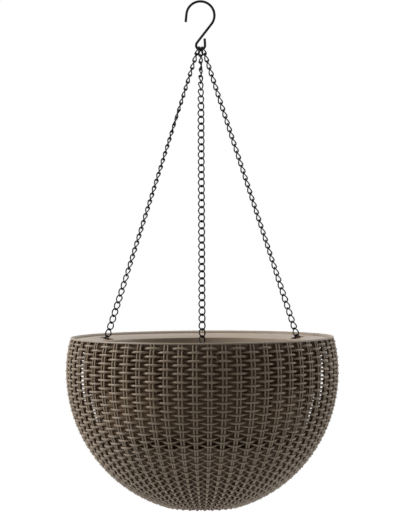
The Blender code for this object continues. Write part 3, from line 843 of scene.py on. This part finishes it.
for bearing in CHAINS.values():
    half = SLOT_WIDTH / 2 - SLOT_ROUND
    outline_of_slot = []
    corners = [(SLOT_OUTER, half), (SLOT_INNER, half), (SLOT_INNER, -half), (SLOT_OUTER, -half)]
    for turn, (x, y) in enumerate(corners):
        for step in range(CORNER_STEPS + 1):
            a = (turn + step / CORNER_STEPS) * math.pi / 2
            outline_of_slot.append((x + SLOT_ROUND * math.cos(a), y + SLOT_ROUND * math.sin(a)))
    bm = bmesh.new()
    lower = bm.faces.new([bm.verts.new((x, y, -SLOT_CUT)) for x, y in outline_of_slot])
    draw_out(bm, lower, UP * SLOT_CUT)
    bmesh.ops.recalc_face_normals(bm, faces=bm.faces)
    bmesh.ops.rotate(bm, cent=(0, 0, 0), matrix=Matrix.Rotation(bearing, 3, "Z"), verts=bm.verts)
    bmesh.ops.translate(bm, verts=bm.verts, vec=RIM_DROP)
    cutter = in_scene("slot_cutter", mesh_from("slot cutter", bm))
    cut = liner.modifiers.new("slot", "BOOLEAN")
    cut.operation = "DIFFERENCE"
    cut.object = cutter
    graph = bpy.context.evaluated_depsgraph_get()
    with_slot = bpy.data.meshes.new_from_object(liner.evaluated_get(graph))
    liner.modifiers.clear()
    liner.data = with_slot
    bpy.data.objects.remove(cutter)
bm = bmesh.new()
bm.from_mesh(liner.data)
bmesh.ops.remove_doubles(bm, verts=bm.verts, dist=WELD)
bm.normal_update()
# Mask per point: 1 on the top, inside and flange edge, which get the coat and their own colour; 0 on the
# outside and underside, which get no coat and painted shade
coat_not_painted_shade = bm.verts.layers.float.new("coat_not_painted_shade")
for vert in bm.verts:
    radius = vert.co.xy.length
    facing = vert.normal.x * vert.co.x + vert.normal.y * vert.co.y
    turned_away = facing > OUTWARD_LEAST * radius or vert.normal.z < -DOWNWARD_LEAST
    vert[coat_not_painted_shade] = 0 if turned_away and radius < FLANGE_RADIUS - FLANGE_EDGE else 1
bm.to_mesh(liner.data)
bm.free()
liner.data.shade_smooth()
liner.data.set_sharp_from_angle(angle=math.radians(40))

# Liner's ribs: 24 thin radial ribs under the flange, of one moulding with the liner, that stiffen it.
# They taper down to the wall, and keep light from passing between the liner and the weave's upper part.
RIBS = 24
RIB_THICKNESS = 0.0016
RIB_ROOT = LINER_RADIUS + 0.001
RIB_ROOT_DEPTH = 0.0088
RIB_TOP_DEPTH = 0.0054
# A rib's outer edge from top to foot: radius and depth below the rim
RIB_EDGE = [
    (0.1495, 0.007),
    (0.151, 0.022),
    (0.1527, 0.035),
    (0.1522, 0.058),
    (0.1428, 0.068),
    (0.141, 0.084),
    (0.136, 0.1),
]
bm = bmesh.new()
for rib in range(RIBS):
    profile = [
        (RIB_ROOT, RIB_ROOT_DEPTH),
        (RIB_EDGE[0][0], RIB_TOP_DEPTH),
        *RIB_EDGE,
        (RIB_ROOT, RIB_EDGE[-1][1]),
    ]
    near = [bm.verts.new((radius, -RIB_THICKNESS / 2, -depth)) for radius, depth in profile]
    far = draw_out(bm, bm.faces.new(near), (0, RIB_THICKNESS, 0))
    turn = Matrix.Rotation(math.tau * (rib + 0.5) / RIBS, 3, "Z")
    bmesh.ops.rotate(bm, cent=(0, 0, 0), matrix=turn, verts=near + far)
bmesh.ops.translate(bm, verts=bm.verts, vec=RIM_DROP)
finished("liner_ribs", bm, liner_resin, "liner", "liner_resin", "liner", crease=40)

# Drain plug: soft dark rubber, pressed into the liner's drain hole from above for use indoors.
# A stem fills the hole, a head lies on the floor, and a grip stands on it to pull it by.
PLUG_GAP = 0.0003
PLUG_HEAD = floor - PLUG_GAP
PLUG_HEAD_RADIUS = 0.0125
PLUG_HEAD_THICKNESS = 0.0025
PLUG_GRIP_RADIUS = 0.004
PLUG_GRIP_HEIGHT = 0.0105
PLUG_STEM_RADIUS = 0.0077
PLUG_STEM_LENGTH = 0.006
PLUG_ROUND = 0.0006
PLUG_STEPS = 48
plug_rubber, plug_shader = resin_or_coat("dark rubber", (0.03, 0.028, 0.026), 0.7)
add_skin(
    plug_rubber,
    plug_shader,
    dark=(0.022, 0.0205, 0.019),
    light=(0.04, 0.037, 0.034),
    grain=2200,
    clouds=120,
    rough=(0.55, 0.8),
    depth=0.00005,
)
bm = turned(
    [
        (0, PLUG_HEAD - PLUG_GRIP_HEIGHT),
        (PLUG_GRIP_RADIUS, PLUG_HEAD - PLUG_GRIP_HEIGHT),
        (PLUG_GRIP_RADIUS, PLUG_HEAD - PLUG_HEAD_THICKNESS),
        (PLUG_HEAD_RADIUS, PLUG_HEAD - PLUG_HEAD_THICKNESS),
        (PLUG_HEAD_RADIUS, PLUG_HEAD),
        (PLUG_STEM_RADIUS, PLUG_HEAD),
        (PLUG_STEM_RADIUS, PLUG_HEAD + PLUG_STEM_LENGTH),
        (0, PLUG_HEAD + PLUG_STEM_LENGTH),
    ],
    steps=PLUG_STEPS,
)
round_edges(bm, PLUG_ROUND, 3)
finished("rubber_plug", bm, plug_rubber, "plug", "plug_rubber", "drain_plug", crease=60)

# Stage: a pale floor well below the planter, and white surroundings that only the camera and reflections
# see. The key lamp is on the left and higher than the planter, a weaker one is at the right, and a soft one
# is overhead at the right.
FLOOR_HEIGHT = -1.25
FLOOR_REACH = 30
FLOOR_GLOW = 0.8
SURROUNDING_LIGHT = 0.14
bm = bmesh.new()
bmesh.ops.create_grid(bm, x_segments=1, y_segments=1, size=FLOOR_REACH)
bmesh.ops.translate(bm, verts=bm.verts, vec=(0, 0, FLOOR_HEIGHT))
floor_plane = in_scene("floor", mesh_from("floor", bm))
floor_paint, floor_shader = resin_or_coat("pale floor", (0.8, 0.8, 0.8), 0.8)
nodes, links = floor_paint.node_tree.nodes, floor_paint.node_tree.links


def seen_white(nodes, links):
    """1 for rays from the camera and for reflections and what is seen through glass, 0 for light."""
    path = nodes.new("ShaderNodeLightPath")
    seen = path.outputs["Is Camera Ray"]
    for also in ("Is Glossy Ray", "Is Transmission Ray"):
        more = nodes.new("ShaderNodeMath")
        more.operation = "MAXIMUM"
        links.new(seen, more.inputs[0])
        links.new(path.outputs[also], more.inputs[1])
        seen = more.outputs[0]
    return seen


floor_shader.inputs["Emission Color"].default_value = (1, 1, 1, 1)
glow = nodes.new("ShaderNodeMath")
glow.operation = "MULTIPLY"
glow.inputs[1].default_value = FLOOR_GLOW
links.new(seen_white(nodes, links), glow.inputs[0])
links.new(glow.outputs[0], floor_shader.inputs["Emission Strength"])
floor_plane.data.materials.append(floor_paint)

world = bpy.data.worlds.new("white studio")
bpy.context.scene.world = world
world.use_nodes = True
nodes, links = world.node_tree.nodes, world.node_tree.links
dim = nodes["Background"]
dim.inputs["Color"].default_value = (1, 1, 1, 1)
dim.inputs["Strength"].default_value = SURROUNDING_LIGHT
white = nodes.new("ShaderNodeBackground")
white.inputs["Color"].default_value = (1, 1, 1, 1)
white.inputs["Strength"].default_value = 1
mix = nodes.new("ShaderNodeMixShader")
links.new(seen_white(nodes, links), mix.inputs["Fac"])
links.new(dim.outputs["Background"], mix.inputs[1])
links.new(white.outputs["Background"], mix.inputs[2])
links.new(mix.outputs["Shader"], nodes["World Output"].inputs["Surface"])

LAMPS = {
    "left key lamp": ((-1.87, -0.05, 0.9), 1.0, 84),
    "right rim lamp": ((2.2, 0.5, 0.0), 1.2, 22),
    "top lamp": ((0.9, 0.4, 1.7), 1.4, 20),
}
AIM = Vector((0, 0, -0.5))
for name, (place, size, watts) in LAMPS.items():
    lamp = bpy.data.lights.new(name, "AREA")
    lamp.shape = "SQUARE"
    lamp.size = size
    lamp.energy = watts
    holder = in_scene(name, lamp)
    holder.location = place
    holder.rotation_euler = (AIM - Vector(place)).to_track_quat("-Z", "Y").to_euler()

# Camera: where the photo was taken from, worked out from the rim's ellipse and the chains. It stands in
# front, a little below the hook, with a long lens.
CAMERA_DISTANCE = 3.05
CAMERA_HEIGHT = -0.2803
TILT = math.radians(0.817)
YAW = math.radians(-0.02)
ROLL = math.radians(-0.3)
LENS = 167.6
SENSOR = 36
camera_data = bpy.data.cameras.new("camera")
camera_data.sensor_fit = "VERTICAL"
camera_data.sensor_height = SENSOR
camera_data.sensor_width = SENSOR
camera_data.lens = LENS
camera_data.clip_start = 0.1
camera_data.clip_end = 100
camera = in_scene("camera", camera_data)
camera.location = (0, -CAMERA_DISTANCE, CAMERA_HEIGHT)
level = Matrix.Rotation(YAW, 3, "Z") @ Matrix.Rotation(math.pi / 2 - TILT, 3, "X")
camera.rotation_euler = (level @ Matrix.Rotation(ROLL, 3, "Z")).to_euler()
bpy.context.scene.camera = camera
bpy.context.scene.view_settings.view_transform = "Standard"
